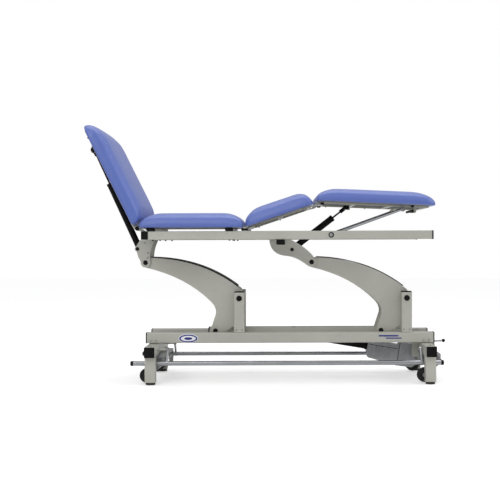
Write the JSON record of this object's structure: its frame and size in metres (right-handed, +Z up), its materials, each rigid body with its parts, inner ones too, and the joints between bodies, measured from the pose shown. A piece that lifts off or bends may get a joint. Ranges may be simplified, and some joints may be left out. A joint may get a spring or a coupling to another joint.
{
  "type": "medical exam table",
  "caption": "Electric height-adjustable medical exam table with a sectioned padded top, parallelogram lift, gas-spring backrest, foot control bars and retractable castors.",
  "frame": {"origin": "on the floor under the middle of the bounding box", "axes": "+X along the table towards the foot end, +Y across it towards its left side, +Z up"},
  "size_m": [1.75, 0.62, 1.2142],
  "materials": {
    "grey_paint": "semi-gloss",
    "blue_vinyl": "satin",
    "black_plastic": "matte",
    "dark_steel": "satin",
    "black_rubber": "matte",
    "chrome": "polished",
    "zinc_steel": "zinc plated",
    "grey_plastic": "matte"
  },
  "bodies": {
    "base": {"actuator_bracket": "grey_paint", "base_crossbar_foot": "grey_paint", "base_crossbar_head": "grey_paint", "base_rail_left": "grey_paint", "base_rail_right": "grey_paint", "castor_bracket_foot": "zinc_steel", "castor_bracket_head": "zinc_steel", "levelling_foot_foot_left": "black_rubber", "levelling_foot_foot_right": "black_rubber", "levelling_foot_head_left": "black_rubber", "levelling_foot_head_right": "black_rubber", "lift_pin_foot": "dark_steel", "lift_pin_head": "dark_steel", "lift_post_foot_left": "grey_paint", "lift_post_foot_right": "grey_paint", "lift_post_head_left": "grey_paint", "lift_post_head_right": "grey_paint"},
    "castors_head": {"castor_axle_head": "zinc_steel"},
    "castors_foot": {"castor_axle_foot": "zinc_steel"},
    "wheel_head_right": {"castor_wheel_head_right": "black_rubber"},
    "wheel_head_left": {"castor_wheel_head_left": "black_rubber"},
    "wheel_foot_right": {"castor_wheel_foot_right": "black_rubber"},
    "wheel_foot_left": {"castor_wheel_foot_left": "black_rubber"},
    "castor_link": {"castor_link_bar": "zinc_steel"},
    "pedal": {"castor_pedal": "chrome", "castor_pedal_knob": "black_plastic"},
    "foot_control_right": {"foot_bar_right": "chrome"},
    "foot_control_left": {"foot_bar_left": "chrome"},
    "lift_head": {"lift_arm_head": "grey_paint"},
    "lift_foot": {"lift_arm_foot": "grey_paint"},
    "tie": {"tie_bar": "grey_paint"},
    "actuator": {"actuator_motor_housing": "grey_plastic", "actuator_outer_tube": "dark_steel"},
    "actuator_slide": {"actuator_rod": "chrome"},
    "top_frame": {"top_rail_right": "grey_paint", "top_rail_left": "grey_paint", "head_cross_tube": "grey_paint", "mid_cross_tube": "grey_paint", "seat_cross_tube_head": "grey_paint", "seat_cross_tube_foot": "grey_paint", "arm_bracket_head": "grey_paint", "arm_bracket_foot": "grey_paint", "seat_cushion": "blue_vinyl"},
    "backrest": {"backrest_frame": "grey_paint", "backrest_cushion": "blue_vinyl"},
    "backrest_release": {"backrest_release_bar": "dark_steel"},
    "backrest_spring": {"backrest_spring_cylinder": "dark_steel"},
    "backrest_spring_slide": {"backrest_spring_rod": "dark_steel"},
    "thigh_section": {"thigh_frame": "grey_paint", "thigh_cushion": "blue_vinyl"},
    "leg_section": {"leg_frame": "grey_paint", "leg_cushion": "blue_vinyl"},
    "leg_release": {"leg_release_bar": "dark_steel"},
    "leg_spring": {"leg_spring_cylinder": "dark_steel"},
    "leg_spring_slide": {"leg_spring_rod": "dark_steel"},
    "strut_right": {"leg_strut_right": "chrome"},
    "strut_left": {"leg_strut_left": "chrome"}
  },
  "joints": [
    {"name": "lift", "type": "hinge", "parent": "base", "child": "lift_head", "pos_m": [-0.13842, 0, 0.397], "axis": [0, 1, 0], "range_deg": [-30, 21]},
    {"name": "lift_foot_arm", "type": "hinge", "parent": "base", "child": "lift_foot", "pos_m": [0.66958, 0, 0.397], "axis": [0, 1, 0], "range_deg": [-30, 21]},
    {"name": "lift_tie", "type": "hinge", "parent": "lift_head", "child": "tie", "pos_m": [-0.25692, 0, 0.2365], "axis": [0, 1, 0], "range_deg": [-21, 30]},
    {"name": "top_level", "type": "hinge", "parent": "lift_head", "child": "top_frame", "pos_m": [-0.59502, 0, 0.5697], "axis": [0, 1, 0], "range_deg": [-21, 30]},
    {"name": "actuator_swing", "type": "hinge", "parent": "base", "child": "actuator", "pos_m": [0.72008, 0, 0.12], "axis": [0, 1, 0], "range_deg": [-4, 3]},
    {"name": "actuator_extend", "type": "slide", "parent": "actuator", "child": "actuator_slide", "axis": [-0.986, 0, 0.1668], "range_m": [-0.0955, 0.067]},
    {"name": "recline", "type": "hinge", "parent": "top_frame", "child": "backrest", "pos_m": [-0.61192, 0, 0.733], "axis": [0, 1, 0], "range_deg": [-63.6, 0]},
    {"name": "backrest_spring_swing", "type": "hinge", "parent": "top_frame", "child": "backrest_spring", "pos_m": [-0.63392, 0, 0.637], "axis": [0, 1, 0], "range_deg": [-58.2, 0]},
    {"name": "backrest_spring_stroke", "type": "slide", "parent": "backrest_spring", "child": "backrest_spring_slide", "axis": [-0.4163, 0, 0.9092], "range_m": [-0.0925, 0]},
    {"name": "backrest_release_squeeze", "type": "hinge", "parent": "backrest", "child": "backrest_release", "pos_m": [-0.85352, 0, 1.16235], "axis": [0, 1, 0], "range_deg": [0, 8], "stiffness_Nm_per_rad": 4},
    {"name": "thigh_raise", "type": "hinge", "parent": "top_frame", "child": "thigh_section", "pos_m": [-0.10592, 0, 0.732], "axis": [0, -1, 0], "range_deg": [-18.5, 8]},
    {"name": "leg_bend", "type": "hinge", "parent": "thigh_section", "child": "leg_section", "pos_m": [0.23608, 0, 0.85], "axis": [0, -1, 0], "range_deg": [-9.5, 21]},
    {"name": "strut_swing_right", "type": "hinge", "parent": "top_frame", "child": "strut_right", "pos_m": [0.29808, 0, 0.7007], "axis": [0, -1, 0], "range_deg": [-16.5, 7.2]},
    {"name": "strut_swing_left", "type": "hinge", "parent": "top_frame", "child": "strut_left", "pos_m": [0.29808, 0, 0.7007], "axis": [0, -1, 0], "range_deg": [-16.5, 7.2]},
    {"name": "leg_spring_swing", "type": "hinge", "parent": "top_frame", "child": "leg_spring", "pos_m": [0.11808, 0, 0.631], "axis": [0, -1, 0], "range_deg": [-18.7, 8.2]},
    {"name": "leg_spring_stroke", "type": "slide", "parent": "leg_spring", "child": "leg_spring_slide", "axis": [0.791, 0, 0.6118], "range_m": [-0.035, 0.0152]},
    {"name": "leg_release_squeeze", "type": "hinge", "parent": "leg_section", "child": "leg_release", "pos_m": [0.72412, 0, 0.81783], "axis": [0, 1, 0], "range_deg": [0, 10], "stiffness_Nm_per_rad": 4},
    {"name": "castor_lower", "type": "hinge", "parent": "base", "child": "castors_foot", "pos_m": [0.81508, 0, 0.1], "axis": [0, -1, 0], "range_deg": [0, 10]},
    {"name": "castor_lower_head", "type": "hinge", "parent": "base", "child": "castors_head", "pos_m": [-0.49792, 0, 0.1], "axis": [0, -1, 0], "range_deg": [0, 10]},
    {"name": "castor_link_swing", "type": "hinge", "parent": "castors_foot", "child": "castor_link", "pos_m": [0.81508, 0, 0.048], "axis": [0, -1, 0], "range_deg": [-10, 0]},
    {"name": "pedal_press", "type": "hinge", "parent": "base", "child": "pedal", "pos_m": [0.80758, 0, 0.176], "axis": [0, 1, 0], "range_deg": [0, 26.4]},
    {"name": "wheel_spin_head_right", "type": "hinge", "parent": "castors_head", "child": "wheel_head_right", "pos_m": [-0.57292, -0.212, 0.038], "axis": [0, 1, 0], "continuous": true},
    {"name": "wheel_spin_head_left", "type": "hinge", "parent": "castors_head", "child": "wheel_head_left", "pos_m": [-0.57292, 0.212, 0.038], "axis": [0, 1, 0], "continuous": true},
    {"name": "wheel_spin_foot_right", "type": "hinge", "parent": "castors_foot", "child": "wheel_foot_right", "pos_m": [0.74008, -0.212, 0.038], "axis": [0, 1, 0], "continuous": true},
    {"name": "wheel_spin_foot_left", "type": "hinge", "parent": "castors_foot", "child": "wheel_foot_left", "pos_m": [0.74008, 0.212, 0.038], "axis": [0, 1, 0], "continuous": true},
    {"name": "foot_control_right_press", "type": "hinge", "parent": "base", "child": "foot_control_right", "pos_m": [0.10558, -0.165, 0.155], "axis": [1, 0, 0], "range_deg": [-4, 4], "stiffness_Nm_per_rad": 80, "springref_deg": -0.66},
    {"name": "foot_control_left_press", "type": "hinge", "parent": "base", "child": "foot_control_left", "pos_m": [0.10558, 0.165, 0.155], "axis": [1, 0, 0], "range_deg": [-4, 4], "stiffness_Nm_per_rad": 80, "springref_deg": 0.66}
  ],
  "couplings": [
    {"joint": "lift_foot_arm", "follows": "lift", "ratio": 1},
    {"joint": "lift_tie", "follows": "lift", "ratio": -1},
    {"joint": "top_level", "follows": "lift", "ratio": -1},
    {"joint": "actuator_swing", "follows": "lift", "ratio": 0.13},
    {"joint": "actuator_extend", "follows": "lift", "m_per_rad": 0.18048},
    {"joint": "backrest_spring_swing", "follows": "recline", "ratio": 0.91},
    {"joint": "backrest_spring_stroke", "follows": "recline", "m_per_rad": 0.0825},
    {"joint": "leg_bend", "follows": "thigh_raise", "ratio": -1.12},
    {"joint": "strut_swing_right", "follows": "thigh_raise", "ratio": 0.88},
    {"joint": "strut_swing_left", "follows": "thigh_raise", "ratio": 0.88},
    {"joint": "leg_spring_swing", "follows": "thigh_raise", "ratio": 1},
    {"joint": "leg_spring_stroke", "follows": "thigh_raise", "m_per_rad": 0.106},
    {"joint": "castor_lower_head", "follows": "castor_lower", "ratio": 1},
    {"joint": "castor_link_swing", "follows": "castor_lower", "ratio": -1},
    {"joint": "pedal_press", "follows": "castor_lower", "ratio": 2.63}
  ]
}
